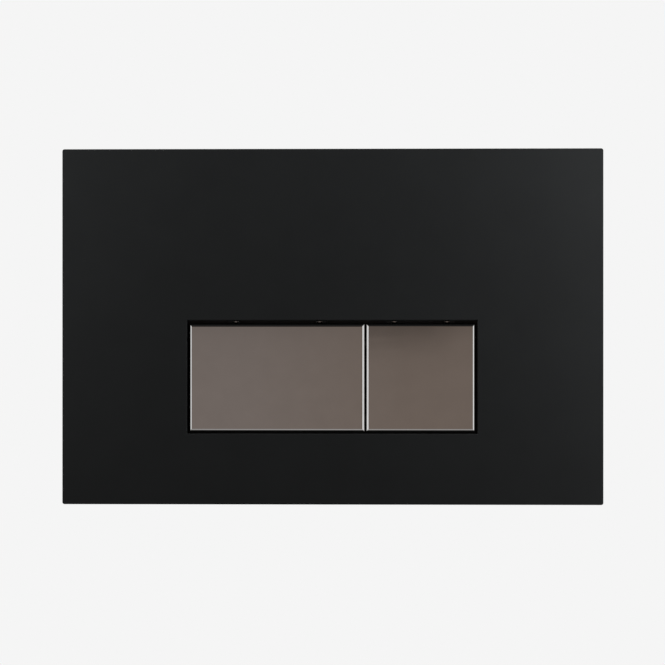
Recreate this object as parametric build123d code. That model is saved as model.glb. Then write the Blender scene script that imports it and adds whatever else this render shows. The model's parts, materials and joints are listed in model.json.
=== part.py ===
"""Two-button flush plate for a concealed cistern, built piece by piece.

X runs to the viewer's right, Y into the wall and Z up. The origin is the centre of the plate on the
finished wall, so what is seen lies at y < 0 and what hides in the wall opening lies at y > 0.
All sizes are in millimetres.
"""

import os
from itertools import pairwise
from math import cos, radians, sin, tan

from build123d import *

# Cover plate
PLATE_W = 246.0  # overall width
PLATE_H = 161.7  # overall height
PLATE_D = 10.0  # finished wall to front face
PLATE_CORNER_R = 1.0  # plan corners
PLATE_EDGE_R = 0.4  # rounding of the front edge
PLATE_SKIN = 2.4  # front wall
PLATE_RIM = 2.2  # side walls
WALL_GAP = 0.4  # rim held off the tiles
BOTTOM_MARGIN = 32.2  # plate's lower edge to the button opening
OPENING_CHAMFER = 0.3
CHEEK_T = 1.6  # walls beside the opening that the carrier seats on
SEAT_T = 1.2  # bars above and below the opening that the carrier seats on
SEAT_INSET = 1.2  # from the carrier's edge
RIB_T = 1.2  # stiffening ribs behind the skin
RIB_D = 1.5
RIB_COUNT = 7

# Buttons
FULL_W = 79.7  # full flush button
HALF_W = 49.4  # half flush button
BUTTON_H = 48.9
BUTTON_PROUD = 0.2  # stands out of the plate's face
BUTTON_SKIN = 2.2
BUTTON_WALL = 1.6
SKIRT_D = 5.6  # depth of a button's side walls
BUTTON_EDGE_R = 1.3  # rounding of the front edges, mitred at the corners
BUTTON_RIB_D = 2.0
BUTTON_RIB_RISE = 8.0  # ribs above the springs
GAP_BETWEEN = 0.6  # between the two buttons
GAP_SIDE = 1.15  # button to opening, left and right
GAP_TOP = 1.6
GAP_BOTTOM = 1.0
PRESS_DEG = 8.0  # full travel of a button about its hinge

# Hinges
PIN_R = 0.9
PIN_PLAY = 0.05  # lug on pin, radial
PIN_SEAT = 0.02  # pin in ear, radial
PIN_TAIL = 0.3  # pin past its lug
LUG_WALL = 1.2  # round the pin
LUG_W = 1.8
FULL_LUG_X = 19.1  # lugs each side of the full button's middle
HALF_LUG_X = 12.0  # lugs each side of the half button's middle
HINGE_DROP = 0.5  # hinge axis below the opening's upper edge
HINGE_CLEAR = 0.4  # ears behind the buttons' skirts
EAR_T = 2.4
EAR_WALL = 1.0  # round the pin
EAR_PLAY = 0.3  # ear beside lug
HEEL_RISE = 5.0  # heel above the axis that stops the lug on the carrier at rest
HEEL_T = 2.6
HEEL_CLEAR = 0.15

# Carrier behind the buttons
CARRIER_T = 2.0
CARRIER_SIDE = 9.0  # flange past the opening, left and right
CARRIER_TOP = 11.0
CARRIER_BOTTOM = 9.5
CARRIER_CORNER_R = 4.0
WELL_WALL = 1.6
WELL_PLAY = 1.0  # well past the opening
FLOOR_CLEAR = 1.0  # pressed button to well floor
FLANGE_CLEAR = 0.35  # lug to carrier flange

# Clips on the plate that hold the carrier
CLIP_W = 9.0
CLIP_T = 1.6
CLIP_X = 55.0  # clips above and below, each side of the middle
CLIP_BARB = 1.0
CLIP_NOSE = 1.8  # barb's length behind the flange
CLIP_PLAY = 0.2

# Return springs
SPRING_RISE = 23.2  # above the button's lower edge
SPRING_INSET = 13.0  # from the button's side
SPRING_R = 2.9  # wire centre to spring axis
SPRING_WIRE = 0.7
SPRING_TURNS = 5
SPRING_STEPS = 8  # straight lengths of wire in one turn
SPRING_SEAT = 0.05
POST_R = 1.9  # cross post on the button inside the spring
POST_T = 1.2
POST_D = 3.0
CUP_WALL = 1.2  # square cup on the carrier round the spring
CUP_PLAY = 0.45
CUP_D = 2.5

# Rubber bumpers that end the press
BUMPER_RISE = 7.0  # above the button's lower edge
BUMPER_INSET = 10.0  # from the button's side
BUMPER_W = 9.0
BUMPER_H = 5.0
BUMPER_EDGE = 0.6
BUMPER_TAIL_W = 5.0
BUMPER_TAIL_H = 2.0
BUMPER_TAIL_D = 1.6  # behind the well floor
BUMPER_CLEAR = 0.3
BUMPER_PLAY = 0.05

# Push rods and the caps that set their length
ROD_RISE = 14.0  # above the button's lower edge
ROD_R = 3.0
ROD_TIP_R = 2.5
ROD_TIP_L = 30.0
ROD_L = 66.0
CAP_R = 5.8  # middle to a corner of its hexagon
CAP_L = 6.4
CAP_NOSE_R = 2.4
CAP_NOSE_D = 1.6
CAP_WALL = 2.6  # nose to the end of the rod
CAP_PLAY = 0.05
PAD_W = 9.0
PAD_D = 2.4
PAD_CLEAR = 0.15  # button to cap at rest
ROD_WINDOW_PLAY = 2.0

# Mounting frame
FRAME_T = 3.0
FRAME_GAP = 5.0  # inside the plate's rim
FRAME_CORNER_R = 4.0
FRAME_LIP_T = 1.8
FRAME_LIP_D = 2.0
FRAME_TOP_BAR = 12.0
CROSSBAR_H = 6.0
WINDOW_PLAY = 1.2  # round the carrier's clips
COLLAR_T = 2.0
BRIDGE_T = 3.0
BRIDGE_H = 16.0

# Rod guides in the frame's bridge
GUIDE_PLAY = 0.1
GUIDE_WALL = 1.6
GUIDE_SEAT = 0.05
GUIDE_FLANGE_W = 12.0
GUIDE_FLANGE_T = 1.2
GUIDE_TAIL = 4.5
GUIDE_CLEAR = 0.8  # pressed cap to guide

# Fixing studs and wing nuts
STUD_R = 4.0
STUD_TAIL_R = 3.5
STUD_TAIL_L = 40.0
STUD_L = 63.0
STUD_PROUD = 0.4  # through the nut
SLOT_W = 8.8
SLOT_H = 15.0
NUT_T = 3.4
NUT_HUB_R = 7.4  # middle to a corner of its hexagon
NUT_WING_L = 28.0  # across both wings
NUT_WING_T = 4.0
NUT_WING_D = 2.4
NUT_PLAY = 0.05

# Snap arms that hold the plate on the frame
SNAP_X = 70.0
SNAP_W = 12.0
SNAP_T = 1.8
SNAP_INSET = 6.0  # from the frame's edge
SNAP_BARB = 1.2
SNAP_LEDGE = 1.2
SNAP_CLEAR = 0.4
SNAP_END = 0.8  # arm stops short of the wall

# Places worked out from the sizes above
front_y = -PLATE_D
skin_y = front_y + PLATE_SKIN
button_front_y = front_y - BUTTON_PROUD
button_skin_y = button_front_y + BUTTON_SKIN
skirt_y = button_front_y + SKIRT_D

opening_w = FULL_W + HALF_W + GAP_BETWEEN + 2 * GAP_SIDE
opening_h = BUTTON_H + GAP_TOP + GAP_BOTTOM
opening_bottom = -PLATE_H / 2 + BOTTOM_MARGIN
opening_top = opening_bottom + opening_h
opening_z = (opening_bottom + opening_top) / 2
button_bottom = opening_bottom + GAP_BOTTOM
button_top = button_bottom + BUTTON_H
full_x = -opening_w / 2 + GAP_SIDE + FULL_W / 2
half_x = opening_w / 2 - GAP_SIDE - HALF_W / 2

lug_r = PIN_R + LUG_WALL
ear_r = PIN_R + EAR_WALL
hinge_y = skirt_y + HINGE_CLEAR + ear_r
hinge_z = opening_top - HINGE_DROP
press = radians(PRESS_DEG)


def pressed_y(y, z):
    """Depth of a point of a button once it is pressed home."""
    return hinge_y + (y - hinge_y) * cos(press) - (z - hinge_z) * sin(press)


flange_y = hinge_y + lug_r + FLANGE_CLEAR
flange_back_y = flange_y + CARRIER_T
floor_y = pressed_y(skirt_y, button_bottom) + FLOOR_CLEAR
floor_back_y = floor_y + WELL_WALL
carrier_w = opening_w + 2 * CARRIER_SIDE
carrier_top = opening_top + CARRIER_TOP
carrier_bottom = opening_bottom - CARRIER_BOTTOM
carrier_h = carrier_top - carrier_bottom
carrier_z = (carrier_top + carrier_bottom) / 2
well_w = opening_w + 2 * WELL_PLAY
well_top = hinge_z - ear_r - EAR_PLAY
well_bottom = opening_bottom - WELL_PLAY

spring_z = button_bottom + SPRING_RISE
bumper_z = button_bottom + BUMPER_RISE
bumper_y = pressed_y(button_skin_y, bumper_z - BUMPER_H / 2) + BUMPER_CLEAR
rod_z = button_bottom + ROD_RISE
pad_y = button_skin_y + PAD_D
cap_y = pad_y + PAD_CLEAR
rod_y = cap_y + CAP_WALL
rod_travel = (hinge_z - rod_z + CAP_NOSE_R) * tan(press)
guide_y = cap_y + CAP_L + rod_travel + GUIDE_CLEAR
bridge_y = guide_y + GUIDE_FLANGE_T
bridge_back_y = bridge_y + BRIDGE_T
guide_w = 2 * (ROD_R + GUIDE_PLAY + GUIDE_WALL)

frame_w = PLATE_W - 2 * (PLATE_RIM + FRAME_GAP)
frame_h = PLATE_H - 2 * (PLATE_RIM + FRAME_GAP)
clip_room = CLIP_PLAY + CLIP_T + WINDOW_PLAY
window_w = carrier_w + 2 * clip_room
window_bottom = carrier_bottom - clip_room
window_top = frame_h / 2 - FRAME_TOP_BAR
crossbar_z = carrier_top + clip_room + CROSSBAR_H / 2
stud_x = (window_w / 2 + COLLAR_T + frame_w / 2) / 2
nut_y = -FRAME_T - NUT_T
snap_z = frame_h / 2 - SNAP_INSET

SIDES = {"left": -1, "right": 1}
BUTTONS = {
    "full": {"x": full_x, "w": FULL_W, "lug_x": FULL_LUG_X},
    "half": {"x": half_x, "w": HALF_W, "lug_x": HALF_LUG_X},
}


def slab(outline, front, back):
    """A front-view outline, given as (x, z), made solid between two depths."""
    return extrude(Plane.XZ.offset(-back) * outline, amount=back - front)


def across(outline, x, width):
    """A side-view outline, given as (y, z), made solid over a width centred on x."""
    return extrude(Plane.YZ.offset(x - width / 2) * outline, amount=width)


def block(x_span, y_span, z_span):
    low = Vector(x_span[0], y_span[0], z_span[0])
    high = Vector(x_span[1], y_span[1], z_span[1])
    size = high - low
    return Location((low + high) / 2) * Box(size.X, size.Y, size.Z)


def turned(steps, x, z):
    """A turned piece on a Y axis through (x, z), from its (depth, radius) steps."""
    points = [(0, steps[0][0])] + [(radius, depth) for depth, radius in steps] + [(0, steps[-1][0])]
    return Pos(x, 0, z) * revolve(make_face(Polyline(points, close=True)), Axis.Y)


def bored(radius, front, back, x, z):
    return slab(Pos(x, z) * Circle(radius), front, back)


def span(low, high):
    """A rectangle in an outline from its two corners."""
    middle = ((low[0] + high[0]) / 2, (low[1] + high[1]) / 2)
    return Pos(*middle) * Rectangle(high[0] - low[0], high[1] - low[1])


def hook(edge, sign, thickness, catch_y, barb, end_y):
    """Side view of an arm behind the skin, as (depth, height), with its barb on the side of sign."""
    back = edge - sign * thickness
    points = [(skin_y, back), (end_y, back), (end_y, edge), (catch_y, edge + sign * barb)]
    points += [(catch_y, edge), (skin_y, edge)]
    return make_face(Polyline(points, close=True))


def cover_plate():
    plate = slab(RectangleRounded(PLATE_W, PLATE_H, PLATE_CORNER_R), front_y, -WALL_GAP)
    plate = fillet(plate.faces().sort_by(Axis.Y)[0].edges(), PLATE_EDGE_R)
    inside = Rectangle(PLATE_W - 2 * PLATE_RIM, PLATE_H - 2 * PLATE_RIM)
    plate -= slab(inside, skin_y, 0)
    plate -= slab(Pos(0, opening_z) * Rectangle(opening_w, opening_h), front_y, skin_y)
    opening = plate.faces().sort_by(Axis.Y)[0].inner_wires()[0]
    plate = chamfer(opening.edges(), OPENING_CHAMFER)

    # Seats and clips for the carrier
    clip_y = flange_back_y + CLIP_PLAY
    seat_x = (-opening_w / 2 - CHEEK_T, opening_w / 2 + CHEEK_T)
    for edge, sign in ((carrier_top, -1), (carrier_bottom, 1)):
        seat_z = sorted((edge + sign * SEAT_INSET, edge + sign * (SEAT_INSET + SEAT_T)))
        plate += block(seat_x, (skin_y, flange_y), seat_z)
        clip = hook(edge - sign * CLIP_PLAY, sign, CLIP_T, clip_y, CLIP_BARB, clip_y + CLIP_NOSE)
        for clip_x in (-CLIP_X, CLIP_X):
            plate += across(clip, clip_x, CLIP_W)
    for sign in SIDES.values():
        cheek_x = sorted((sign * opening_w / 2, sign * (opening_w / 2 + CHEEK_T)))
        plate += block(cheek_x, (skin_y, flange_y), (opening_bottom, opening_top))

    # Snap arms for the frame
    catch_y = -FRAME_T + SNAP_LEDGE + SNAP_CLEAR / 2
    for sign in SIDES.values():
        snap = hook(sign * (snap_z + SNAP_T / 2), sign, SNAP_T, catch_y, SNAP_BARB, -SNAP_END)
        for snap_x in (-SNAP_X, SNAP_X):
            plate += across(snap, snap_x, SNAP_W)

    # Ribs behind the broad upper face
    rib_y = (skin_y, skin_y + RIB_D)
    rib_bottom = crossbar_z
    rib_top = snap_z - SNAP_T - SNAP_CLEAR
    rib_end = PLATE_W / 2 - PLATE_RIM
    rib_pitch = 2 * rib_end / (RIB_COUNT + 1)
    for index in range(RIB_COUNT):
        rib_x = (index - (RIB_COUNT - 1) / 2) * rib_pitch
        plate += block((rib_x - RIB_T / 2, rib_x + RIB_T / 2), rib_y, (rib_bottom, rib_top))
    for rib_z in (rib_bottom, rib_top):
        plate += block((-rib_end, rib_end), rib_y, (rib_z - RIB_T / 2, rib_z + RIB_T / 2))
    return plate


def flush_button(x, w, lug_x):
    """A hollow cap with its hinge lugs, spring posts and push pad in one moulding."""
    z = (button_top + button_bottom) / 2
    cap = slab(Pos(x, z) * Rectangle(w, BUTTON_H), button_front_y, skirt_y)
    cap = fillet(cap.faces().sort_by(Axis.Y)[0].edges(), BUTTON_EDGE_R)
    hollow = Rectangle(w - 2 * BUTTON_WALL, BUTTON_H - 2 * BUTTON_WALL)
    cap -= slab(Pos(x, z) * hollow, button_skin_y, skirt_y)

    rib_y = (button_skin_y, button_skin_y + BUTTON_RIB_D)
    rib_reach = w / 2 - BUTTON_WALL
    cap += block((x - RIB_T / 2, x + RIB_T / 2), rib_y, (rod_z, button_top - BUTTON_WALL))
    for rib_z in (spring_z + BUTTON_RIB_RISE, spring_z + 2 * BUTTON_RIB_RISE):
        cap += block((x - rib_reach, x + rib_reach), rib_y, (rib_z - RIB_T / 2, rib_z + RIB_T / 2))
    cap += slab(Pos(x, rod_z) * Rectangle(PAD_W, PAD_W), button_skin_y, pad_y)

    arm = span((button_skin_y, button_top - BUTTON_WALL), (hinge_y, button_top))
    heel_y = flange_y - HEEL_CLEAR
    heel = span((heel_y - HEEL_T, hinge_z + PIN_R), (heel_y, hinge_z + HEEL_RISE))
    lug = arm + heel + Pos(hinge_y, hinge_z) * Circle(lug_r)
    lug -= Pos(hinge_y, hinge_z) * Circle(PIN_R + PIN_PLAY)
    cross = Rectangle(2 * POST_R, POST_T) + Rectangle(POST_T, 2 * POST_R)
    for sign in SIDES.values():
        cap += across(lug, x + sign * lug_x, LUG_W)
        spring_x = x + sign * (w / 2 - SPRING_INSET)
        cap += slab(Pos(spring_x, spring_z) * cross, button_skin_y, button_skin_y + POST_D)
    return cap


def hinge_pin(lug_x, sign):
    """Short steel pin pressed into an ear, with the lug turning on its end."""
    inner = lug_x - sign * (LUG_W / 2 + PIN_TAIL)
    outer = lug_x + sign * (LUG_W / 2 + EAR_PLAY + EAR_T)
    return across(Pos(hinge_y, hinge_z) * Circle(PIN_R), (inner + outer) / 2, abs(outer - inner))


def button_carrier():
    """Flanged well behind the buttons that holds the hinges, spring cups and bumpers."""
    outline = Pos(0, carrier_z) * RectangleRounded(carrier_w, carrier_h, CARRIER_CORNER_R)
    well_inside = span((-well_w / 2, well_bottom), (well_w / 2, well_top))
    carrier = slab(outline, flange_y, flange_back_y)
    carrier += slab(offset(well_inside, WELL_WALL, kind=Kind.INTERSECTION), flange_y, floor_back_y)
    carrier -= slab(well_inside, flange_y, floor_y)

    ear = span((hinge_y - ear_r, hinge_z - ear_r), (flange_y, hinge_z + ear_r))
    ear = chamfer(ear.vertices().group_by(Axis.X)[0], EAR_WALL)
    ear -= Pos(hinge_y, hinge_z) * Circle(PIN_R + PIN_SEAT)
    ear_offset = LUG_W / 2 + EAR_PLAY + EAR_T / 2
    cup_w = 2 * (SPRING_R + CUP_PLAY) + SPRING_WIRE
    cup = Rectangle(cup_w + 2 * CUP_WALL, cup_w + 2 * CUP_WALL) - Rectangle(cup_w, cup_w)
    rod_window_w = 2 * (CAP_R + ROD_WINDOW_PLAY)
    rod_window = Rectangle(rod_window_w, rod_window_w)
    bumper_slot = Rectangle(BUMPER_TAIL_W + 2 * BUMPER_PLAY, BUMPER_TAIL_H + 2 * BUMPER_PLAY)
    for button in BUTTONS.values():
        x, w = button["x"], button["w"]
        carrier -= slab(Pos(x, rod_z) * rod_window, floor_y, floor_back_y)
        for sign in SIDES.values():
            carrier += across(ear, x + sign * (button["lug_x"] + ear_offset), EAR_T)
            carrier += slab(Pos(x + sign * (w / 2 - SPRING_INSET), spring_z) * cup, floor_y - CUP_D, floor_y)
            bumper_x = x + sign * (w / 2 - BUMPER_INSET)
            carrier -= slab(Pos(bumper_x, bumper_z) * bumper_slot, floor_y, floor_back_y)
    return carrier


def return_spring(x):
    """Compression spring with closed ends, its wire drawn as short straight lengths."""
    half = SPRING_WIRE / 2
    low = button_skin_y + SPRING_SEAT + half
    high = floor_y - SPRING_SEAT - half
    closed_rise = SPRING_WIRE + SPRING_SEAT
    open_rise = (high - low - 2 * closed_rise) / (SPRING_TURNS - 2)
    corners = ((-half, -half), (half, -half), (half, half), (-half, half))
    sections = []
    for step in range(SPRING_TURNS * SPRING_STEPS + 1):
        turn = step / SPRING_STEPS
        closed_turns = min(turn, 1) + max(turn - SPRING_TURNS + 1, 0)
        depth = low + closed_rise * closed_turns + open_rise * (turn - closed_turns)
        around = Pos(x, depth, spring_z) * Rot(0, 360 * turn, 0)
        sections.append([(around * Pos(SPRING_R + out, back, 0)).position for out, back in corners])
    outlines = [sections[0], sections[-1]]
    for near, far in pairwise(sections):
        for side in (0, 2):
            outlines.append([near[side], near[side + 1], far[side + 1]])
            outlines.append([near[side], far[side + 1], far[side]])
        for side in (1, 3):
            end = (side + 1) % 4
            outlines.append([near[side], near[end], far[end], far[side]])
    return Solid(Shell([Face(Wire.make_polygon(points)) for points in outlines]))


def bumper(x):
    """Rubber block with bevelled front edges and a tail pushed through the well floor."""
    head = slab(Pos(x, bumper_z) * Rectangle(BUMPER_W, BUMPER_H), bumper_y, floor_y)
    head = chamfer(head.faces().sort_by(Axis.Y)[0].edges(), BUMPER_EDGE)
    tail = Pos(x, bumper_z) * Rectangle(BUMPER_TAIL_W, BUMPER_TAIL_H)
    return head + slab(tail, floor_y, floor_back_y + BUMPER_TAIL_D)


def push_rod(x):
    end = rod_y + ROD_L
    shoulder = end - ROD_TIP_L
    return turned([(rod_y, ROD_R), (shoulder, ROD_R), (shoulder, ROD_TIP_R), (end, ROD_TIP_R)], x, rod_z)


def rod_cap(x):
    """Hexagonal cap with a blunt nose, screwed along the rod to set its length."""
    shoulder, back = cap_y + CAP_NOSE_D, cap_y + CAP_L
    cap = slab(Pos(x, rod_z) * RegularPolygon(CAP_R, 6), shoulder, back)
    cap += bored(CAP_NOSE_R, cap_y, shoulder, x, rod_z)
    return cap - bored(ROD_R + CAP_PLAY, rod_y, back, x, rod_z)


def rod_guide(x):
    """Square flanged sleeve that the rod slides in, pushed into the bridge from the front."""
    tail = bridge_back_y + GUIDE_TAIL
    guide = slab(Pos(x, rod_z) * Rectangle(GUIDE_FLANGE_W, GUIDE_FLANGE_W), guide_y, bridge_y)
    guide += slab(Pos(x, rod_z) * Rectangle(guide_w, guide_w), bridge_y, tail)
    return guide - bored(ROD_R + GUIDE_PLAY, guide_y, tail, x, rod_z)


def mounting_frame():
    """Moulded frame that is clamped to the wall opening and carries the plate and the rod guides."""
    border = RectangleRounded(frame_w, frame_h, FRAME_CORNER_R)
    frame = slab(border, -FRAME_T, 0)
    lip = border - offset(border, -FRAME_LIP_T)
    frame += slab(lip, -FRAME_T - FRAME_LIP_D, -FRAME_T)
    window = span((-window_w / 2, window_bottom), (window_w / 2, window_top))
    frame += slab(offset(window, COLLAR_T, kind=Kind.INTERSECTION), -FRAME_T, bridge_back_y)
    frame -= slab(window, -FRAME_T, bridge_back_y)

    half = window_w / 2
    frame += block((-half, half), (-FRAME_T, 0), (crossbar_z - CROSSBAR_H / 2, crossbar_z + CROSSBAR_H / 2))
    frame += block((-half, half), (bridge_y, bridge_back_y), (rod_z - BRIDGE_H / 2, rod_z + BRIDGE_H / 2))
    guide_hole = Rectangle(guide_w + 2 * GUIDE_SEAT, guide_w + 2 * GUIDE_SEAT)
    for button in BUTTONS.values():
        frame -= slab(Pos(button["x"], rod_z) * guide_hole, bridge_y, bridge_back_y)

    slot_reach = SNAP_T / 2 + SNAP_CLEAR
    relief_y = -FRAME_T + SNAP_LEDGE
    for sign in SIDES.values():
        frame -= slab(Pos(sign * stud_x, 0) * SlotOverall(SLOT_H, SLOT_W, rotation=90), -FRAME_T, 0)
        middle = sign * snap_z
        relief_z = sorted((middle, middle + sign * (slot_reach + SNAP_BARB)))
        for snap_x in (-SNAP_X, SNAP_X):
            x_span = (snap_x - SNAP_W / 2 - SNAP_CLEAR, snap_x + SNAP_W / 2 + SNAP_CLEAR)
            frame -= block(x_span, (-FRAME_T, 0), (middle - slot_reach, middle + slot_reach))
            frame -= block(x_span, (relief_y, 0), relief_z)
    return frame


def fixing_stud(x):
    start = nut_y - STUD_PROUD
    end = start + STUD_L
    shoulder = end - STUD_TAIL_L
    return turned([(start, STUD_R), (shoulder, STUD_R), (shoulder, STUD_TAIL_R), (end, STUD_TAIL_R)], x, 0)


def fixing_nut(x):
    """Wing nut that draws the frame back on to the wall."""
    nut = slab(Pos(x, 0) * RegularPolygon(NUT_HUB_R, 6), nut_y, -FRAME_T)
    wing = Pos(x, 0) * Rectangle(NUT_WING_T, NUT_WING_L)
    nut += slab(wing, nut_y, nut_y + NUT_WING_D)
    return nut - bored(STUD_R + NUT_PLAY, nut_y, -FRAME_T, x, 0)


def all_pieces():
    """Every piece by its name."""
    pieces = {
        "cover_plate": cover_plate(),
        "button_carrier": button_carrier(),
        "mounting_frame": mounting_frame(),
    }
    for name, button in BUTTONS.items():
        x, w, lug_x = button["x"], button["w"], button["lug_x"]
        pieces[f"{name}_flush_button"] = flush_button(x, w, lug_x)
        pieces[f"{name}_push_rod"] = push_rod(x)
        pieces[f"{name}_rod_cap"] = rod_cap(x)
        pieces[f"{name}_rod_guide"] = rod_guide(x)
        for side, sign in SIDES.items():
            pieces[f"{name}_hinge_pin_{side}"] = hinge_pin(x + sign * lug_x, sign)
            pieces[f"{name}_return_spring_{side}"] = return_spring(x + sign * (w / 2 - SPRING_INSET))
            pieces[f"{name}_bumper_{side}"] = bumper(x + sign * (w / 2 - BUMPER_INSET))
    for side, sign in SIDES.items():
        pieces[f"fixing_stud_{side}"] = fixing_stud(sign * stud_x)
        pieces[f"fixing_nut_{side}"] = fixing_nut(sign * stud_x)
    return pieces


os.makedirs("parts", exist_ok=True)
for piece_name, piece in all_pieces().items():
    export_step(piece, f"parts/{piece_name}.step")
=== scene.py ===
# %% [markdown]
# # A two-button flush plate
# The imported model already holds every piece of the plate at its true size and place. This lesson
# gives the pieces the look of the real thing: a matt black cover, two chromed buttons and, behind
# them, the moulded, turned and wound parts that a hand sees only when the plate is lifted off its
# wall.

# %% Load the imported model
import json
from math import cos, pi, radians, sin

import bmesh
import bpy
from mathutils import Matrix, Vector


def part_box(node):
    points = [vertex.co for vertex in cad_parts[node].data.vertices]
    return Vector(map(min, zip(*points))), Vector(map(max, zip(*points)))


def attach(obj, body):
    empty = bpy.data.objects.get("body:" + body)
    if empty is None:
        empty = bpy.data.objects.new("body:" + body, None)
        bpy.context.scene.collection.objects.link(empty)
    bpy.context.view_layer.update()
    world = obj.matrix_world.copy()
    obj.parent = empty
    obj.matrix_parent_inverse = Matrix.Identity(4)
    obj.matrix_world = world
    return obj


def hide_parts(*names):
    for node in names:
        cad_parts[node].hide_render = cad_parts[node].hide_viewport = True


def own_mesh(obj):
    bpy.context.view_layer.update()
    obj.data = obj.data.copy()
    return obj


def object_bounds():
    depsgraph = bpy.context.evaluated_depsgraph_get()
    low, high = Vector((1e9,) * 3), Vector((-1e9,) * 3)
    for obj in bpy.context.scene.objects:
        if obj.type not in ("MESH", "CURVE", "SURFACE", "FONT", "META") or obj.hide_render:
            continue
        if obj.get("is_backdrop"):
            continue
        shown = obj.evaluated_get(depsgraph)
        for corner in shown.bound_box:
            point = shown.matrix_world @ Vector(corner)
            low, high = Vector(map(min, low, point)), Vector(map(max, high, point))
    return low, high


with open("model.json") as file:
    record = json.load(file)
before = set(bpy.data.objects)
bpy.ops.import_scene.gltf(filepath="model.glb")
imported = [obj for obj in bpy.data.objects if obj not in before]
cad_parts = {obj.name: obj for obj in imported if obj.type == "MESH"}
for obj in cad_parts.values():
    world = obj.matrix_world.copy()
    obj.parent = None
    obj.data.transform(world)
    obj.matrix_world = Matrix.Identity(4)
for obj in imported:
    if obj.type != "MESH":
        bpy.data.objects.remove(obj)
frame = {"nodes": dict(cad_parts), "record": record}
cad_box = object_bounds()
scene = bpy.context.scene
scene.view_settings.view_transform = "Standard"
MM = 0.001
plate_low, plate_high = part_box("cover_plate")

# %% [markdown]
# ## Node trees written as sums
# Both the finishes and the repeated shapes are node trees. A tree of many small Math nodes is hard
# to read, so one small class wraps a socket and lets Python's own operators add those nodes. Every
# other node comes from one method, which takes its type, its settings and then its sockets.


# %% A socket that does arithmetic
class Socket:
    """An output of a node; arithmetic on it adds Math nodes to its tree."""

    def __init__(self, tree, output):
        self.tree = tree
        self.output = output

    def math(self, operation, *values):
        sockets = dict(enumerate(values))
        return self.tree.node("ShaderNodeMath", {"operation": operation}, sockets)

    def __add__(self, other):
        return self.math("ADD", self, other)

    def __sub__(self, other):
        return self.math("SUBTRACT", self, other)

    def __rsub__(self, other):
        return self.math("SUBTRACT", other, self)

    def __mul__(self, other):
        return self.math("MULTIPLY", self, other)

    def __truediv__(self, other):
        return self.math("DIVIDE", self, other)

    def __rtruediv__(self, other):
        return self.math("DIVIDE", other, self)

    __radd__ = __add__
    __rmul__ = __mul__

    def least(self, other):
        return self.math("MINIMUM", self, other)

    def most(self, other):
        return self.math("MAXIMUM", self, other)

    def above(self, other):
        return self.math("GREATER_THAN", self, other)

    def of(self, operation):
        return self.math(operation, self)


class Tree:
    """A node tree that is filled one node at a time."""

    def __init__(self, tree):
        self.tree = tree

    def node(self, kind, settings=None, sockets=None, output=0):
        """Add a node and return one output, or a dictionary where several are asked for."""
        made = self.tree.nodes.new(kind)
        for name, value in (settings or {}).items():
            if name == "stops":
                set_stops(made.color_ramp, value)
            else:
                setattr(made, name, value)
        for key, value in (sockets or {}).items():
            for item in value if isinstance(value, list) else [value]:
                if isinstance(item, Socket):
                    self.tree.links.new(item.output, made.inputs[key])
                else:
                    made.inputs[key].default_value = item
        if isinstance(output, (list, tuple)):
            return {name: Socket(self, made.outputs[name]) for name in output}
        return Socket(self, made.outputs[output]) if made.outputs else None


def set_stops(ramp, stops):
    while len(ramp.elements) < len(stops):
        ramp.elements.new(1.0)
    for element, (place, colour) in zip(ramp.elements, stops):
        element.position = place
        element.color = (*colour, 1.0)


print("sockets can now be added, scaled and compared")

# %% [markdown]
# ## The camera
# The photograph looks straight at the plate from a little way off, with the right-hand edge a hair
# taller than the left one, so the camera stands slightly to the right. It also stands a few
# millimetres low, which leaves the plate a little above the middle of the picture with no tilt and
# no lens shift.

# %% Camera
PHOTO_PX = 665
PLATE_PX = 541.5
CAMERA_DISTANCE = 1.55
CAMERA_AZIMUTH = radians(2.0)
CAMERA_ASIDE_PX = 0.4
CAMERA_DROP_PX = 5.82

metres_per_px = (plate_high.x - plate_low.x) / PLATE_PX
aim = Vector((CAMERA_ASIDE_PX * metres_per_px, plate_low.y, -CAMERA_DROP_PX * metres_per_px))
camera_data = bpy.data.cameras.new("camera")
camera_data.lens = camera_data.sensor_width * CAMERA_DISTANCE / (PHOTO_PX * metres_per_px)
camera = bpy.data.objects.new("camera", camera_data)
camera.location = aim + CAMERA_DISTANCE * Vector((sin(CAMERA_AZIMUTH), -cos(CAMERA_AZIMUTH), 0))
camera.rotation_euler = (pi / 2, 0, CAMERA_AZIMUTH)
scene.collection.objects.link(camera)
scene.camera = camera
print(f"lens {camera_data.lens:.0f} mm at {CAMERA_DISTANCE} m")

# %% [markdown]
# ## Backdrop and floor
# The photograph has a plain pale background with no horizon. A world of one pale colour gives it to
# the camera and to everything that mirrors, while softer light from the same world falls on the
# object. The floor is a pale disc below the plate that takes its shadow and fades out before its
# own edge shows.

# %% Backdrop and floor
BACKDROP = 0.913
AMBIENT = 0.15
WHITE = (1, 1, 1, 1)
FLOOR_DROP = 0.27
FLOOR_RADIUS = 1.3
FLOOR_SIDES = 64
FLOOR_FADE_FROM = 0.5 * FLOOR_RADIUS
FLOOR_GREY = 0.8

world = bpy.data.worlds.new("studio")
world.use_nodes = True
world.node_tree.nodes.clear()
sky = Tree(world.node_tree)
rays = ("Is Camera Ray", "Is Glossy Ray", "Is Transmission Ray")
ray = sky.node("ShaderNodeLightPath", output=rays)
seen = ray[rays[0]].most(ray[rays[1]]).most(ray[rays[2]])
strength = seen * (BACKDROP - AMBIENT) + AMBIENT
pale = sky.node("ShaderNodeBackground", sockets={"Strength": strength, "Color": WHITE})
sky.node("ShaderNodeOutputWorld", sockets={"Surface": pale})
scene.world = world


def open_material(name):
    """A new material, its tree and the place of a point on its object."""
    material = bpy.data.materials.new(name)
    material.use_nodes = True
    material.node_tree.nodes.clear()
    tree = Tree(material.node_tree)
    return material, tree, tree.node("ShaderNodeTexCoord", output="Object")


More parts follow.
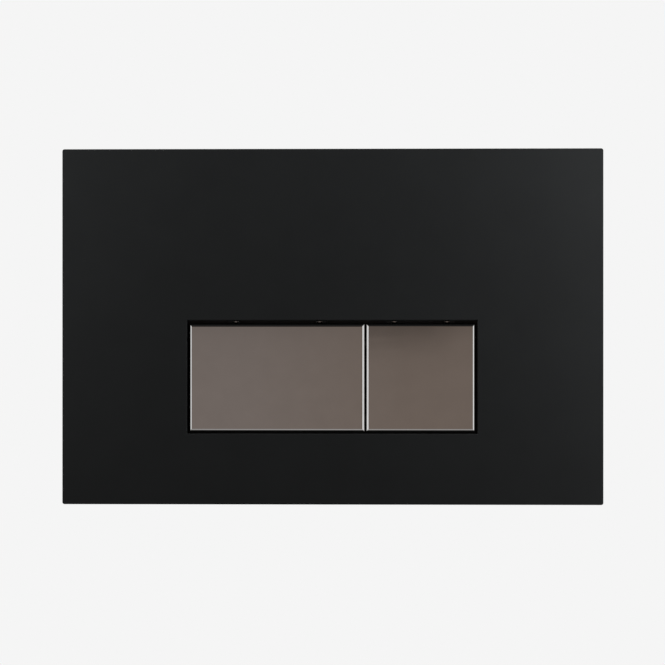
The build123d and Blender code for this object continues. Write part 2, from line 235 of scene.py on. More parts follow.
def stage_sheet(name, corners, material):
    """A flat sheet of the studio that is no part of the object."""
    mesh = bpy.data.meshes.new(name)
    mesh.from_pydata(corners, [], [range(len(corners))])
    mesh.materials.append(material)
    sheet = bpy.data.objects.new(name, mesh)
    scene.collection.objects.link(sheet)
    sheet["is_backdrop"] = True
    return sheet


floor_paint, tree, place = open_material("floor_paint")
reach = tree.node("ShaderNodeVectorMath", {"operation": "LENGTH"}, {0: place}, output="Value")
bare = tree.node(
    "ShaderNodeMapRange",
    {"interpolation_type": "SMOOTHSTEP"},
    {"Value": reach, "From Min": FLOOR_FADE_FROM, "From Max": FLOOR_RADIUS},
)
under = tree.node("ShaderNodeNewGeometry", output="Backfacing")
floor_colour = (FLOOR_GREY, FLOOR_GREY, FLOOR_GREY, 1)
matt = tree.node("ShaderNodeBsdfDiffuse", sockets={"Color": floor_colour})
clear = tree.node("ShaderNodeBsdfTransparent")
surface = tree.node("ShaderNodeMixShader", sockets={0: bare.most(under), 1: matt, 2: clear})
tree.node("ShaderNodeOutputMaterial", sockets={"Surface": surface})
floor_z = plate_low.z - FLOOR_DROP
turns = [2 * pi * step / FLOOR_SIDES for step in range(FLOOR_SIDES)]
floor_ring = [(FLOOR_RADIUS * cos(turn), FLOOR_RADIUS * sin(turn), floor_z) for turn in turns]
floor = stage_sheet("floor", floor_ring, floor_paint)
floor.visible_diffuse = False
print(f"floor {FLOOR_DROP} m under the plate")

# %% [markdown]
# ## What the chrome mirrors
# Chrome has no colour of its own: the buttons are brown-grey in the photograph because a dull warm
# card stands behind the camera, darker towards its top. On both sides of it a pale panel draws the
# bright lines down the buttons' rounded sides, and the rest of that wall is dark, so that the matt
# black plate has little to mirror. A dark sheet overhead keeps the upper edges dark. The sheet
# underfoot is dark below the plate, and a paler band further forward draws the line along the lower
# edges. These sheets belong to the studio, show only in reflections and cast no light or shadow.

# %% Card and dark sheets
CARD_DISTANCE = 2.6
CARD_LEFT = -1.3
CARD_RIGHT = 1.1
CARD_LIGHT = (0.253, 0.213, 0.193)
CARD_STOPS = [(-1.9, 0.90), (-0.6, 0.95), (-0.15, 1.0), (-0.06, 1.0), (-0.005, 0.96)]
CARD_STOPS += [(0.008, 0.88), (0.024, 0.74), (0.043, 0.60), (0.07, 0.39), (0.12, 0.20), (0.5, 0.08)]
CARD_SIDE_LIGHT = (0.228, 0.182, 0.155)
CARD_SIDE_SPAN = (-0.2, 0.0)
WALL_HALF_WIDTH = 4.5
WALL_TOP = 2.2
WALL_GREY = (0.03, 0.027, 0.025, 1)
PANEL_LIGHT = (1.15, 1.15, 1.15, 1)
PANEL_MIDDLE = -0.2
PANEL_HALF_HEIGHT = 0.4
OVERHEAD_GREY = (0.02, 0.02, 0.02, 1)
OVERHEAD_BACK = 0.2
UNDERFOOT_Z = -0.33
UNDERFOOT_TINT = (1, 0.97, 0.95)
UNDERFOOT_STOPS = [(-1.6, 0.30), (-0.50, 0.35), (-0.42, 0.65), (-0.29, 0.65), (-0.24, 0.10)]
UNDERFOOT_STOPS += [(0.0, 0.08)]


def height_ramp(tree, value, stops, colour):
    """A colour scaled by the shares in (place, share) stops."""
    first, last = stops[0][0], stops[-1][0]
    span = last - first
    marks = [((place - first) / span, [share * tone for tone in colour]) for place, share in stops]
    along = (value - first) / span
    return tree.node("ShaderNodeValToRGB", {"stops": marks}, {"Fac": along}, output="Color")


def glowing_sheet(name, corners, shade):
    """A sheet of the studio that shows only in reflections; shade gives its colour."""
    material, tree, place = open_material(name)
    along = tree.node("ShaderNodeSeparateXYZ", sockets={0: place}, output=("X", "Y", "Z"))
    glow = tree.node("ShaderNodeEmission", sockets={"Color": shade(tree, along)})
    tree.node("ShaderNodeOutputMaterial", sockets={"Surface": glow})
    sheet = stage_sheet(name, corners, material)
    sheet.visible_camera = False
    sheet.visible_diffuse = False
    sheet.visible_shadow = False


def mixed(tree, share, first, second):
    """A colour that goes from the first to the second as share goes from 0 to 1."""
    sockets = {"Factor": share, "A": first, "B": second}
    return tree.node("ShaderNodeMix", {"data_type": "RGBA"}, sockets, output="Result")


def wall_shade(tree, along):
    """Card in the middle, a pale panel on each side of it and dark elsewhere."""
    first, last = CARD_SIDE_SPAN
    side = ((along["X"] - first) / (last - first)).most(0).least(1)
    lights = (CARD_LIGHT, CARD_SIDE_LIGHT)
    tones = [height_ramp(tree, along["Z"], CARD_STOPS, light) for light in lights]
    on_panel = 1 - (along["Z"] - PANEL_MIDDLE).of("ABSOLUTE").above(PANEL_HALF_HEIGHT)
    aside = mixed(tree, on_panel, WALL_GREY, PANEL_LIGHT)
    on_card = along["X"].above(CARD_LEFT) * (1 - along["X"].above(CARD_RIGHT))
    return mixed(tree, on_card, aside, mixed(tree, side, *tones))


def overhead_shade(tree, along):
    return OVERHEAD_GREY


def underfoot_shade(tree, along):
    return height_ramp(tree, along["Y"], UNDERFOOT_STOPS, UNDERFOOT_TINT)


def level_sheet(height, front, back):
    plan = [(CARD_LEFT, front), (CARD_RIGHT, front), (CARD_RIGHT, back), (CARD_LEFT, back)]
    return [(x, y, height) for x, y in plan]


low, wide = CARD_STOPS[0][0], WALL_HALF_WIDTH
wall_corners = [(-wide, low), (wide, low), (wide, WALL_TOP), (-wide, WALL_TOP)]
glowing_sheet("camera_wall", [(x, -CARD_DISTANCE, z) for x, z in wall_corners], wall_shade)
glowing_sheet("overhead", level_sheet(WALL_TOP, -CARD_DISTANCE, OVERHEAD_BACK), overhead_shade)
glowing_sheet("underfoot", level_sheet(UNDERFOOT_Z, UNDERFOOT_STOPS[0][0], 0.0), underfoot_shade)
print("card and dark sheets up")

# %% [markdown]
# ## Lamps
# Soft lamps stand close round the front of the plate: to the right, off its upper right corner,
# above it and to the left. The right-hand ones are the stronger: in the photograph the black face
# is brightest at its upper right, falls off towards the bottom and lifts a little again at its left
# edge. One more lamp behind and above lights the back of the plate when it is turned round, and one
# overhead, behind the plate's front, keeps the floor pale without reaching the black face. No lamp
# is seen by the camera.

# %% Lamps
LAMPS = {
    "right_lamp": {"place": (0.20, -0.09, 0.03), "size": (0.06, 0.25), "watts": 0.267},
    "corner_lamp": {"place": (0.19, -0.10, 0.15), "size": (0.10, 0.10), "watts": 0.217},
    "top_lamp": {"place": (0.0, -0.15, 0.26), "size": (0.40, 0.08), "watts": 0.507},
    "left_lamp": {"place": (-0.20, -0.09, 0.06), "size": (0.06, 0.25), "watts": 0.17},
    "floor_lamp": {"place": (0.0, 0.95, 1.75), "size": (1.6, 1.1), "watts": 26.0},
    "back_lamp": {"place": (0.6, 1.6, 1.1), "size": (1.2, 1.0), "watts": 14.0, "mirrored": True},
}


def soft_lamp(name, place, size, watts, mirrored=False):
    """An area lamp that points at the origin."""
    data = bpy.data.lights.new(name, "AREA")
    data.shape = "RECTANGLE"
    data.size, data.size_y = size
    data.energy = watts
    lamp = bpy.data.objects.new(name, data)
    lamp.location = place
    lamp.rotation_euler = (-Vector(place)).to_track_quat("-Z", "Y").to_euler()
    lamp.visible_camera = False
    lamp.visible_glossy = mirrored
    scene.collection.objects.link(lamp)


for name, lamp in LAMPS.items():
    soft_lamp(name, **lamp)
print(", ".join(LAMPS))

# %% [markdown]
# ## Moulded plastics
# Most of the plate is injection moulded. A moulding is never one flat colour: the pigment drifts a
# little, the gloss follows the flow of the melt, and the tool's spark-eroded skin leaves a fine
# grain. One recipe holds those three things, and each plastic gives it its own colour, gloss and
# grain.

# %% Recipe for a moulding
NOISE_SPAN = (0.3, 0.7)
DRIFT_CELL = 18 * MM
FLOW_CELL = 6 * MM
FLOW_DETAIL = 4.0


def close_material(tree, sockets):
    surface = tree.node("ShaderNodeBsdfPrincipled", sockets=sockets)
    tree.node("ShaderNodeOutputMaterial", sockets={"Surface": surface})


def noise(tree, place, cell, detail=2.0):
    """Soft noise from 0 to 1 with features of about one cell, in metres."""
    sockets = {"Vector": place, "Scale": 1 / cell, "Detail": detail}
    return tree.node("ShaderNodeTexNoise", sockets=sockets, output="Fac")


def blend_colours(tree, share, colours):
    """A colour between two, which takes up the span where noise mostly lies."""
    stops = list(zip(NOISE_SPAN, colours))
    return tree.node("ShaderNodeValToRGB", {"stops": stops}, {"Fac": share}, output="Color")


def between(share, span):
    return span[0] + share * (span[1] - span[0])


def bumped(tree, height, depth):
    """A normal for a skin whose height runs from 0 to 1 over a depth in metres."""
    sockets = {"Height": height, "Distance": depth, "Strength": 1.0}
    return tree.node("ShaderNodeBump", sockets=sockets)


def moulding(name, colours, gloss, grain_cell, grain_depth, shine=0.5):
    """Plastic between two colours, with a roughness range and a grain of a given cell and depth."""
    material, tree, place = open_material(name)
    drift = noise(tree, place, DRIFT_CELL)
    flow = noise(tree, place, FLOW_CELL, FLOW_DETAIL)
    grain = noise(tree, place, grain_cell)
    sockets = {
        "Base Color": blend_colours(tree, drift, colours),
        "Roughness": between(flow, gloss),
        "Specular IOR Level": shine,
        "Normal": bumped(tree, grain, grain_depth),
    }
    close_material(tree, sockets)
    return material


# %% The plastics
PLASTICS = {
    "cover_black": {
        "colours": [(0.0117, 0.0125, 0.0129), (0.0127, 0.0136, 0.0140)],
        "gloss": (0.42, 0.50),
        "grain_cell": 0.30 * MM,
        "grain_depth": 0.004 * MM,
        "shine": 0.13,
    },
    "carrier_black": {
        "colours": [(0.010, 0.010, 0.010), (0.014, 0.014, 0.014)],
        "gloss": (0.34, 0.46),
        "grain_cell": 0.25 * MM,
        "grain_depth": 0.006 * MM,
    },
    "frame_white": {
        "colours": [(0.70, 0.71, 0.70), (0.75, 0.75, 0.73)],
        "gloss": (0.38, 0.52),
        "grain_cell": 0.35 * MM,
        "grain_depth": 0.008 * MM,
    },
    "rod_grey": {
        "colours": [(0.36, 0.38, 0.40), (0.42, 0.44, 0.46)],
        "gloss": (0.36, 0.48),
        "grain_cell": 0.30 * MM,
        "grain_depth": 0.006 * MM,
    },
    "grip_grey": {
        "colours": [(0.10, 0.11, 0.12), (0.14, 0.15, 0.16)],
        "gloss": (0.45, 0.60),
        "grain_cell": 0.40 * MM,
        "grain_depth": 0.012 * MM,
    },
    "guide_white": {
        "colours": [(0.76, 0.76, 0.73), (0.80, 0.80, 0.78)],
        "gloss": (0.26, 0.36),
        "grain_cell": 0.50 * MM,
        "grain_depth": 0.003 * MM,
    },
    "bumper_rubber": {
        "colours": [(0.022, 0.022, 0.022), (0.034, 0.033, 0.032)],
        "gloss": (0.70, 0.85),
        "grain_cell": 0.30 * MM,
        "grain_depth": 0.015 * MM,
        "shine": 0.35,
    },
}
finishes = {name: moulding(name, **plastic) for name, plastic in PLASTICS.items()}
print(f"{len(finishes)} plastics")

# %% [markdown]
# ## Chrome and steel
# The buttons are plastic caps with bright chrome on them. Chrome shows the flatness of what is
# under it, so the finish has a very slow waviness as well as faint wiping haze. The pins and
# springs are drawn wire: the die leaves fine marks, which the roughness and the bump follow.

# %% Chrome and steel
WAVE_CELL = 30 * MM
WAVE_DETAIL = 1.0
WAVE_DEPTH = 0.010 * MM
HAZE_CELL = 9 * MM
HAZE_DETAIL = 5.0
CHROME_COLOURS = [(0.60, 0.595, 0.59), (0.63, 0.625, 0.62)]
CHROME_GLOSS = (0.03, 0.06)
LINE_DETAIL = 3.0
LINE_DEPTH = 0.004 * MM
STAIN_CELL = 4 * MM
STEELS = {
    "bright_steel": {
        "colours": [(0.34, 0.34, 0.34), (0.40, 0.40, 0.39)],
        "gloss": (0.20, 0.34),
        "line_cell": 0.2 * MM,
    },
    "spring_steel": {
        "colours": [(0.40, 0.40, 0.40), (0.48, 0.48, 0.47)],
        "gloss": (0.26, 0.42),
        "line_cell": 0.15 * MM,
    },
}


def chrome(name):
    material, tree, place = open_material(name)
    wave = noise(tree, place, WAVE_CELL, WAVE_DETAIL)
    haze = noise(tree, place, HAZE_CELL, HAZE_DETAIL)
    sockets = {
        "Base Color": blend_colours(tree, haze, CHROME_COLOURS),
        "Roughness": between(haze, CHROME_GLOSS),
        "Metallic": 1.0,
        "Normal": bumped(tree, wave, WAVE_DEPTH),
    }
    close_material(tree, sockets)
    return material


def drawn_steel(name, colours, gloss, line_cell):
    material, tree, place = open_material(name)
    lines = noise(tree, place, line_cell, LINE_DETAIL)
    stain = noise(tree, place, STAIN_CELL)
    sockets = {
        "Base Color": blend_colours(tree, stain, colours),
        "Roughness": between(lines, gloss),
        "Metallic": 1.0,
        "Normal": bumped(tree, lines, LINE_DEPTH),
    }
    close_material(tree, sockets)
    return material


finishes["button_chrome"] = chrome("button_chrome")
for name, steel in STEELS.items():
    finishes[name] = drawn_steel(name, **steel)
node_slot = {row["node"]: row["material_slot"] for row in frame["record"]["subparts"]}
for node, part in frame["nodes"].items():
    part.data.materials.clear()
    part.data.materials.append(finishes[node_slot[node]])
print(f"{len(finishes)} finishes on {len(node_slot)} pieces")

# %% [markdown]
# ## Softened edges
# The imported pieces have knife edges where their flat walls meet. No moulding has them: the tool
# rounds each edge a little, and that rounding is what catches the light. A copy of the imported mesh
# is merged into whole faces, its outward edges are bevelled, and the normals of the flat faces are
# kept flat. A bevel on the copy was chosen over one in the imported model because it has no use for
# collision and would multiply its faces.

# %% Softened copies of the mouldings
SHARP_TURN = radians(50)
ROUNDING_TURN = radians(35)
MERGE_GAP = 1e-7
FLAT_TURN = radians(0.5)
BEVEL_STEPS = 2
LARGER_FACE_LEADS = 100
EDGE_WIDTHS = {
    "cover_plate": 0.12 * MM,
    "button_carrier": 0.15 * MM,
    "mounting_frame": 0.25 * MM,
    "fixing_nut": 0.35 * MM,
    "rod_cap": 0.30 * MM,
    "rod_guide": 0.25 * MM,
    "hinge_pin": 0.12 * MM,
    "bumper": 0.20 * MM,
}


def merged_copy(node):
    """The node's mesh as a bmesh with its loose triangles joined into whole flat faces."""
    work = bmesh.new()
    work.from_mesh(frame["nodes"][node].data)
    bmesh.ops.remove_doubles(work, verts=work.verts, dist=MERGE_GAP)
    bmesh.ops.dissolve_limit(work, angle_limit=FLAT_TURN, verts=work.verts, edges=work.edges)
    return work


def dressed(name, mesh, body, slot, *nodes):
    """A finished piece at the origin that rides on a body and stands for its nodes."""
    mesh.materials.clear()
    mesh.materials.append(finishes[slot])
    piece = bpy.data.objects.new(name, mesh)
    scene.collection.objects.link(piece)
    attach(piece, body)
    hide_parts(*nodes)
    print(name, len(mesh.polygons), "faces")
    return piece


def smooth_shell(name, work):
    """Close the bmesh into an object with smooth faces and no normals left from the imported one."""
    mesh = bpy.data.meshes.new(name)
    for face in work.faces:
        face.smooth = True
    work.to_mesh(mesh)
    work.free()
    shell = bpy.data.objects.new(name, mesh)
    scene.collection.objects.link(shell)
    return shell


def flat_faced(shell):
    """The object's mesh as its modifiers leave it, with each normal led by the larger face."""
    weighted = shell.modifiers.new("face_normals", "WEIGHTED_NORMAL")
    weighted.keep_sharp = True
    weighted.weight = LARGER_FACE_LEADS
    evaluated = shell.evaluated_get(bpy.context.evaluated_depsgraph_get())
    mesh = bpy.data.meshes.new_from_object(evaluated)
    bpy.data.objects.remove(shell)
    return mesh


def bevelled(name, work, width):
    """The bmesh with its outward edges rounded and its inward ones left crisp, as a plain mesh."""
    weights = work.edges.layers.float.new("bevel_weight_edge")
    for edge in work.edges:
        turn = edge.calc_face_angle_signed(0.0)
        edge[weights] = 1.0 if turn > SHARP_TURN else 0.0
        edge.smooth = turn > SHARP_TURN or abs(turn) < ROUNDING_TURN
    shell = smooth_shell(name, work)
    bevel = shell.modifiers.new("soft_edges", "BEVEL")
    bevel.limit_method = "WEIGHT"
    bevel.width = width
    bevel.segments = BEVEL_STEPS
    return flat_faced(shell)


bodies = frame["record"]["behaviour"]["bodies"]
node_body = {node: body for body, nodes in bodies.items() for node in nodes}
for node in frame["nodes"]:
    for part, width in EDGE_WIDTHS.items():
        if part in node:
            name = f"{node}_soft"
            mesh = bevelled(name, merged_copy(node), width)
            dressed(name, mesh, node_body[node], node_slot[node], node)

# %% [markdown]
# ## Button edges and lugs
# The roundings along the outer ends of the pair of buttons are drawn in a little, because their
# bright lines are finer in the photograph than those beside the middle gap. The hinge lugs behind
# the upper gap narrow towards the front, so that each shows as a small point of light.

# %% Finer outer roundings and tapered lugs
LUG_RADIUS = 2.1 * MM
LUG_TAPER = 0.45
RIM_GAP = 1e-6
EDGE_ROUNDING = 1.3 * MM
OUTER_SHARE = 0.8
OUTER_SIDES = {"full_flush_button": -1, "half_flush_button": 1}


def tighten_rounding(work, side, front):
    """Narrow the rounding along one side, -1 for the left and 1 for the right."""
    edge_x = max(side * vert.co.x for vert in work.verts)
    for vert in work.verts:
        inward = edge_x - side * vert.co.x
        if max(inward, vert.co.y - front) < EDGE_ROUNDING + RIM_GAP:
            vert.co.x = side * (edge_x - OUTER_SHARE * inward)


def middle_x(verts):
    places = [vert.co.x for vert in verts]
    return (min(places) + max(places)) / 2


def taper_lugs(work, pin):
    """Narrow the front half of the hinge lugs, which turn about a pin."""
    low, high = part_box(pin)
    axis = (low.yz + high.yz) / 2
    rim = LUG_RADIUS + RIM_GAP
    both = [vert for vert in work.verts if (vert.co.yz - axis).length < rim]
    middle_of_both = middle_x(both)
    for side in (-1, 1):
        lug = [vert for vert in both if side * (vert.co.x - middle_of_both) > 0]
        middle = middle_x(lug)
        for vert in lug:
            forward = max(axis.x - vert.co.y, 0) / LUG_RADIUS
            vert.co.x = middle + (vert.co.x - middle) * (1 - LUG_TAPER * forward)


print("outer roundings and lugs can be drawn in")

# %% [markdown]
# ## Button faces
# A moulded cap shrinks as it cools, and its face ends a few hundredths of a millimetre off flat. No
# ruler shows that, but chrome does: the photograph's narrow button mirrors something darker along
# its upper edge. A straight face would mirror the same thing on both buttons, so each front face is
# cut into strips near its upper edge and drawn back along a shallow curve, about a fifth of a
# millimetre at most, and less towards its right-hand end. The roundings along the sides, the top
# and the bottom meet in crisp mitres.

# %% Button copies with a shallow curl
CURL_REACH = 46 * MM
CURL_STRIPS = 24
CURL_FADE = 2.0 * MM
RELIEF_REACH = 24 * MM
RELIEF_STRIPS = 12
RELIEF = 0.7
MITRE_LEAN = 0.02
CURL_DEPTHS = {"full_flush_button": 0.010 * MM, "half_flush_button": 0.19 * MM}


def share_within(reach, distance):
    """1 at no distance, falling evenly to 0 at the reach and beyond."""
    return min(max(1 - distance / reach, 0), 1)


def smoothstep(share):
    return share * share * (3 - 2 * share)


def is_mitre(edge):
    """Whether a rounding along the button's side meets one along its top or bottom here."""
    normals = [face.normal for face in edge.link_faces]
    leans = [(abs(normal.x) > MITRE_LEAN, abs(normal.z) > MITRE_LEAN) for normal in normals]
    return sorted(leans) == [(False, True), (True, False)]


def led_by(lead_faces, mesh):
    """The mesh with the normals of all the lead faces' corners taken from those faces alone."""
    lead = {}
    for face in (mesh.polygons[index] for index in lead_faces):
        for vert in face.vertices:
            lead[vert] = lead.get(vert, Vector()) + face.area * face.normal
    corners = zip(mesh.loops, mesh.corner_normals)
    normals = [lead.get(loop.vertex_index, old.vector).normalized() for loop, old in corners]
    mesh.normals_split_custom_set(normals)
    return mesh


def strip_cuts(top, right):
    """Planes, each a place and a normal, that cut the front into levels and columns."""
    drops = [CURL_REACH * strip / CURL_STRIPS for strip in range(1, CURL_STRIPS + 1)]
    steps = [RELIEF_REACH * strip / RELIEF_STRIPS for strip in range(1, RELIEF_STRIPS + 1)]
    cuts = [((0, 0, top - drop), (0, 0, 1)) for drop in drops]
    return cuts + [((right - step, 0, 0), (1, 0, 0)) for step in steps]


def curled_button(node, depth):
    """The button with its front face drawn back towards its upper edge."""
    work = merged_copy(node)
    taper_lugs(work, node.replace("flush_button", "hinge_pin_left"))
    front = min(vert.co.y for vert in work.verts)
    tighten_rounding(work, OUTER_SIDES[node], front)

    def on_front(face):
        return all(vert.co.y - front < MERGE_GAP for vert in face.verts)

    corners = [vert.co for face in work.faces if on_front(face) for vert in face.verts]
    top, right = max(corner.z for corner in corners), max(corner.x for corner in corners)
    for place, normal in strip_cuts(top, right):
        faces = [face for face in work.faces if on_front(face)]
        edges = {edge for face in faces for edge in face.edges}
        verts = {vert for face in faces for vert in face.verts}
        geometry = [*faces, *edges, *verts]
        bmesh.ops.bisect_plane(work, geom=geometry, plane_co=place, plane_no=normal)
    work.normal_update()
    work.faces.index_update()
    front_faces = [face.index for face in work.faces if on_front(face)]
    for edge in work.edges:
        turn = abs(edge.calc_face_angle_signed(0.0))
        edge.smooth = turn < ROUNDING_TURN and not is_mitre(edge)
    for vert in work.verts:
        curl = share_within(CURL_REACH, top - vert.co.z) ** 2
        relief = 1 - RELIEF * smoothstep(share_within(RELIEF_REACH, right - vert.co.x))
        vert.co.y += depth * curl * relief * share_within(CURL_FADE, vert.co.y - front)
    return led_by(front_faces, flat_faced(smooth_shell(f"{node}_plated", work)))


for node, depth in CURL_DEPTHS.items():
    plated = curled_button(node, depth)
    dressed(f"{node}_plated", plated, node_body[node], "button_chrome", node)

# %% [markdown]
# ## Shapes that follow a rule
# Springs, threads and the tool's round marks all follow a rule, so geometry nodes make them. Each
# tree takes its sizes as named inputs, and its result is kept as a plain mesh, because instances
# don't survive an export.


# %% Helpers for geometry nodes
def new_growth(name, inputs):
    """An empty geometry tree and its named inputs, given as {label: socket type}."""
    group = bpy.data.node_groups.new(name, "GeometryNodeTree")
    for label, kind in inputs.items():
        group.interface.new_socket(label, in_out="INPUT", socket_type=f"NodeSocket{kind}")
    group.interface.new_socket("Shape", in_out="OUTPUT", socket_type="NodeSocketGeometry")
    tree = Tree(group)
    return tree, tree.node("NodeGroupInput", output=list(inputs))


def close_growth(tree, shape, material):
    """End a tree: smooth faces, real geometry in place of instances, and a finish."""
    smooth = tree.node("GeometryNodeSetShadeSmooth", sockets={"Geometry": shape})
    whole = tree.node("GeometryNodeRealizeInstances", sockets={"Geometry": smooth})
    sockets = {"Geometry": whole, "Material": material}
    painted = tree.node("GeometryNodeSetMaterial", sockets=sockets)
    tree.node("NodeGroupOutput", sockets={"Shape": painted})


def spot(tree, x, y, z):
    return tree.node("ShaderNodeCombineXYZ", sockets={"X": x, "Y": y, "Z": z})


def in_a_row(tree, shape, count, first_place, spacing):
    """Copies of a shape, evenly spaced from the first place."""
    sockets = {"Count": count, "Start Location": first_place, "Offset": spacing}
    places = tree.node("GeometryNodeMeshLine", sockets=sockets)
    copies = {"Points": places, "Instance": shape}
    return tree.node("GeometryNodeInstanceOnPoints", sockets=copies)


def grow(tree, name, sizes):
    """Run a tree with its sizes and return the result as a plain mesh that faces outwards."""
    holder = bpy.data.objects.new(name, bpy.data.meshes.new(name))
    scene.collection.objects.link(holder)
    modifier = holder.modifiers.new("growth", "NODES")
    modifier.node_group = tree.tree
    for item in tree.tree.interface.items_tree:
        if item.in_out == "INPUT":
            modifier[item.identifier] = sizes[item.name]
    evaluated = holder.evaluated_get(bpy.context.evaluated_depsgraph_get())
    mesh = bpy.data.meshes.new_from_object(evaluated)
    bpy.data.objects.remove(holder)
    work = bmesh.new()
    work.from_mesh(mesh)
    bmesh.ops.recalc_face_normals(work, faces=work.faces)
    work.to_mesh(mesh)
    work.free()
    mesh.set_sharp_from_angle(angle=ROUNDING_TURN)
    return mesh


print("geometry trees can be built")

# %% [markdown]
# ## Return springs
# Each button stands on two compression springs of round wire with closed ends. The imported model
# draws the wire as short straight lengths; here a line of points is wound into the helix and swept
# with a circle. The end turns lie close and the middle ones share what is left.

# %% Spring tree
inputs = {"Coil Radius": "Float", "Wire Radius": "Float", "Turns": "Float", "Closed Rise": "Float"}
inputs |= {"Front": "Float", "Back": "Float", "Steps": "Int", "Wire Sides": "Int"}
inputs |= {"First Place": "Vector", "Spacing": "Vector", "Finish": "Material"}
spring_tree, size = new_growth("return_springs", inputs)
points = spring_tree.node("GeometryNodeMeshLine", sockets={"Count": size["Steps"] + 1})
turn = spring_tree.node("GeometryNodeInputIndex") / size["Steps"] * size["Turns"]
closed = turn.least(1) + (turn - size["Turns"] + 1).most(0)
low = size["Front"] + size["Wire Radius"]
high = size["Back"] - size["Wire Radius"]
open_rise = (high - low - 2 * size["Closed Rise"]) / (size["Turns"] - 2)
depth = low + closed * size["Closed Rise"] + (turn - closed) * open_rise
around = turn * (2 * pi)
across = around.of("COSINE") * size["Coil Radius"]
upward = around.of("SINE") * size["Coil Radius"] * -1
moved = {"Geometry": points, "Position": spot(spring_tree, across, depth, upward)}
wound = spring_tree.node("GeometryNodeSetPosition", sockets=moved)
path = spring_tree.node("GeometryNodeMeshToCurve", sockets={"Mesh": wound})
section = {"Resolution": size["Wire Sides"], "Radius": size["Wire Radius"]}
wire = spring_tree.node("GeometryNodeCurvePrimitiveCircle", sockets=section)
swept = {"Curve": path, "Profile Curve": wire, "Fill Caps": True}
coil = spring_tree.node("GeometryNodeCurveToMesh", sockets=swept)
springs = in_a_row(spring_tree, coil, 2, size["First Place"], size["Spacing"])
close_growth(spring_tree, springs, size["Finish"])
print("spring tree built")

# %% Springs
WIRE_RADIUS = 0.35 * MM
WIRE_SIDES = 12
SPRING_TURNS = 5.0
SPRING_STEPS = 160
CLOSED_RISE = 0.75 * MM

for button in ("full", "half"):
    pair = [f"{button}_return_spring_{side}" for side in ("left", "right")]
    boxes = [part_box(node) for node in pair]
    middles = [(low + high) / 2 for low, high in boxes]
    low, high = boxes[0]
    sizes = {
        "Coil Radius": (high.x - low.x) / 2 - WIRE_RADIUS,
        "Wire Radius": WIRE_RADIUS,
        "Wire Sides": WIRE_SIDES,
        "Turns": SPRING_TURNS,
        "Closed Rise": CLOSED_RISE,
        "Front": low.y,
        "Back": high.y,
        "Steps": SPRING_STEPS,
        "First Place": (middles[0].x, 0, middles[0].z),
        "Spacing": (middles[1].x - middles[0].x, 0, 0),
        "Finish": finishes["spring_steel"],
    }
    mesh = grow(spring_tree, f"{button}_return_springs", sizes)
    piece = dressed(f"{button}_return_springs", mesh, node_body[pair[0]], "spring_steel", *pair)
    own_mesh(piece)

# %% [markdown]
# ## Threaded rods
# The studs that clamp the frame and the rods that drive the valve are moulded with a thread, so
# that nuts and caps can be set along them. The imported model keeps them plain. A thread is a groove
# that moves one pitch along for each turn, so a grid is rolled into a tube and its radius follows
# the distance along plus the turn. Its two outer rows close the ends, and the plain tip behind the
# shoulder is the same tube with no groove.

# %% Thread tree
THREAD_ROWS = 12
THREAD_AROUND = 40
THREAD_FLAT = 0.2
TIP_ROWS = 80
END_CHAMFER = 0.5 * MM
SEAM_GAP = 1e-6
HALF_GRID = 0.5

inputs = {"Radius": "Float", "Tip Radius": "Float", "Groove": "Float", "Pitch": "Float"}
inputs |= {"Front": "Float", "Shoulder": "Float", "Back": "Float", "Count": "Int"}
inputs |= {"First Place": "Vector", "Spacing": "Vector", "Finish": "Material"}
rod_tree, size = new_growth("threaded_rods", inputs)


def tube(tree, pitch, front, back, radius, groove, rows):
    """A closed tube along Y whose radius is lowered by a thread of a given groove."""
    cells = {"Size X": 2 * HALF_GRID, "Size Y": 2 * HALF_GRID}
    cells |= {"Vertices X": THREAD_AROUND + 1, "Vertices Y": rows + 1}
    sheet = tree.node("GeometryNodeMeshGrid", sockets=cells, output="Mesh")
    flat = tree.node("GeometryNodeInputPosition")
    place = tree.node("ShaderNodeSeparateXYZ", sockets={0: flat}, output=("X", "Y"))
    turn, row = place["X"] + HALF_GRID, (place["Y"] + HALF_GRID) * rows
    share = ((row - 1) / (rows - 2)).most(0).least(1)
    along = front + share * (back - front)
    wave = ((along / pitch - turn).of("FRACT") - 0.5).of("ABSOLUTE") * 2
    crest = ((wave - THREAD_FLAT) / (1 - 2 * THREAD_FLAT)).most(0).least(1)
    to_end = (along - front).least(back - along)
    bevel = (END_CHAMFER - to_end).most(0)
    inside = row.above(0.5) * (rows - row).above(0.5)
    reach = (radius - groove * (1 - crest) - bevel) * inside
    angle = turn * (2 * pi)
    rolled = spot(tree, angle.of("COSINE") * reach, along, angle.of("SINE") * reach)
    bent = tree.node("GeometryNodeSetPosition", sockets={"Geometry": sheet, "Position": rolled})
    seam = {"Geometry": bent, "Distance": SEAM_GAP}
    return tree.node("GeometryNodeMergeByDistance", sockets=seam)


pitch, groove, shoulder = size["Pitch"], size["Groove"], size["Shoulder"]
shank_rows = ((shoulder - size["Front"]) / pitch * THREAD_ROWS).of("ROUND")
shank = tube(rod_tree, pitch, size["Front"], shoulder, size["Radius"], groove, shank_rows)
tip_start = shoulder - END_CHAMFER * 2
tip = tube(rod_tree, pitch, tip_start, size["Back"], size["Tip Radius"], groove * 0, TIP_ROWS)
rod = rod_tree.node("GeometryNodeJoinGeometry", sockets={"Geometry": [shank, tip]})
rods = in_a_row(rod_tree, rod, size["Count"], size["First Place"], size["Spacing"])
close_growth(rod_tree, rods, size["Finish"])
print("thread tree built")

# %% Studs and push rods
STUD_THREAD = {"groove": 0.55 * MM, "pitch": 2.0 * MM, "shoulder": 23.0 * MM, "tip": 3.5 * MM}
PUSH_THREAD = {"groove": 0.40 * MM, "pitch": 1.5 * MM, "shoulder": 36.0 * MM, "tip": 2.5 * MM}


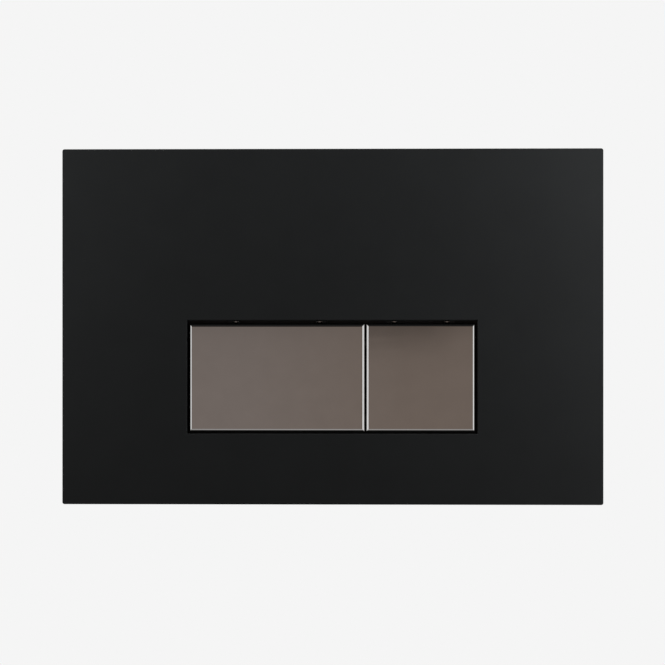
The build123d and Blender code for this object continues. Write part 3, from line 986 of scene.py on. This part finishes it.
def threaded(name, thread, *nodes):
    boxes = [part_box(node) for node in nodes]
    low, high = boxes[0]
    middles = [(low + high) / 2 for low, high in boxes]
    sizes = {
        "Radius": (high.x - low.x) / 2,
        "Tip Radius": thread["tip"],
        "Groove": thread["groove"],
        "Pitch": thread["pitch"],
        "Front": low.y,
        "Shoulder": low.y + thread["shoulder"],
        "Back": high.y,
        "Count": len(nodes),
        "First Place": (middles[0].x, 0, middles[0].z),
        "Spacing": (middles[-1].x - middles[0].x, 0, 0),
        "Finish": finishes["rod_grey"],
    }
    mesh = grow(rod_tree, name, sizes)
    dressed(name, mesh, node_body[nodes[0]], "rod_grey", *nodes)


threaded("fixing_studs", STUD_THREAD, "fixing_stud_left", "fixing_stud_right")
for button in ("full", "half"):
    threaded(f"{button}_push_rod_threaded", PUSH_THREAD, f"{button}_push_rod")

# %% [markdown]
# ## Marks of the moulding tool
# Round pins push a moulding out of its tool and leave a ring where each one stood. On the frame's
# back they stand in rows on both sides, clear of the stud slots. A small grid of points carries the
# rings.

# %% Ejector rings
RING_RADIUS = 2.6 * MM
RING_STEPS = 40
RING_LINE = 0.10 * MM
RING_LINE_SIDES = 6
RING_COLUMNS = 22 * MM
RING_ROWS = 112 * MM
RINGS_ACROSS = 2
RINGS_DOWN = 4

inputs = {"Ring Radius": "Float", "Line Radius": "Float", "Columns": "Float", "Rows": "Float"}
inputs |= {"First Place": "Vector", "Spacing": "Vector", "Finish": "Material"}
ring_tree, size = new_growth("ejector_rings", inputs)
round_line = {"Resolution": RING_STEPS, "Radius": size["Ring Radius"]}
ring = ring_tree.node("GeometryNodeCurvePrimitiveCircle", sockets=round_line)
section = {"Resolution": RING_LINE_SIDES, "Radius": size["Line Radius"]}
line = ring_tree.node("GeometryNodeCurvePrimitiveCircle", sockets=section)
swept = {"Curve": ring, "Profile Curve": line}
raised = ring_tree.node("GeometryNodeCurveToMesh", sockets=swept)
cells = {"Size X": size["Columns"], "Size Y": size["Rows"]}
cells |= {"Vertices X": RINGS_ACROSS, "Vertices Y": RINGS_DOWN}
points = ring_tree.node("GeometryNodeMeshGrid", sockets=cells, output="Mesh")
copies = {"Points": points, "Instance": raised}
group = ring_tree.node("GeometryNodeInstanceOnPoints", sockets=copies)
stood_up = {"Geometry": group, "Rotation": (pi / 2, 0, 0)}
upright = ring_tree.node("GeometryNodeTransform", sockets=stood_up)
rings = in_a_row(ring_tree, upright, 2, size["First Place"], size["Spacing"])
close_growth(ring_tree, rings, size["Finish"])

stud_low, stud_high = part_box("fixing_stud_left")
stud_x = (stud_low.x + stud_high.x) / 2
sizes = {
    "Ring Radius": RING_RADIUS,
    "Line Radius": RING_LINE,
    "Columns": RING_COLUMNS,
    "Rows": RING_ROWS,
    "First Place": (stud_x, 0, 0),
    "Spacing": (-2 * stud_x, 0, 0),
    "Finish": finishes["frame_white"],
}
ring_mesh = grow(ring_tree, "ejector_rings", sizes)
dressed("ejector_rings", ring_mesh, node_body["mounting_frame"], "frame_white")

# %% Write both boxes and finish
visual_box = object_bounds()
boxes = {"cad": [list(corner) for corner in cad_box], "visual": [list(corner) for corner in visual_box]}
print(boxes)
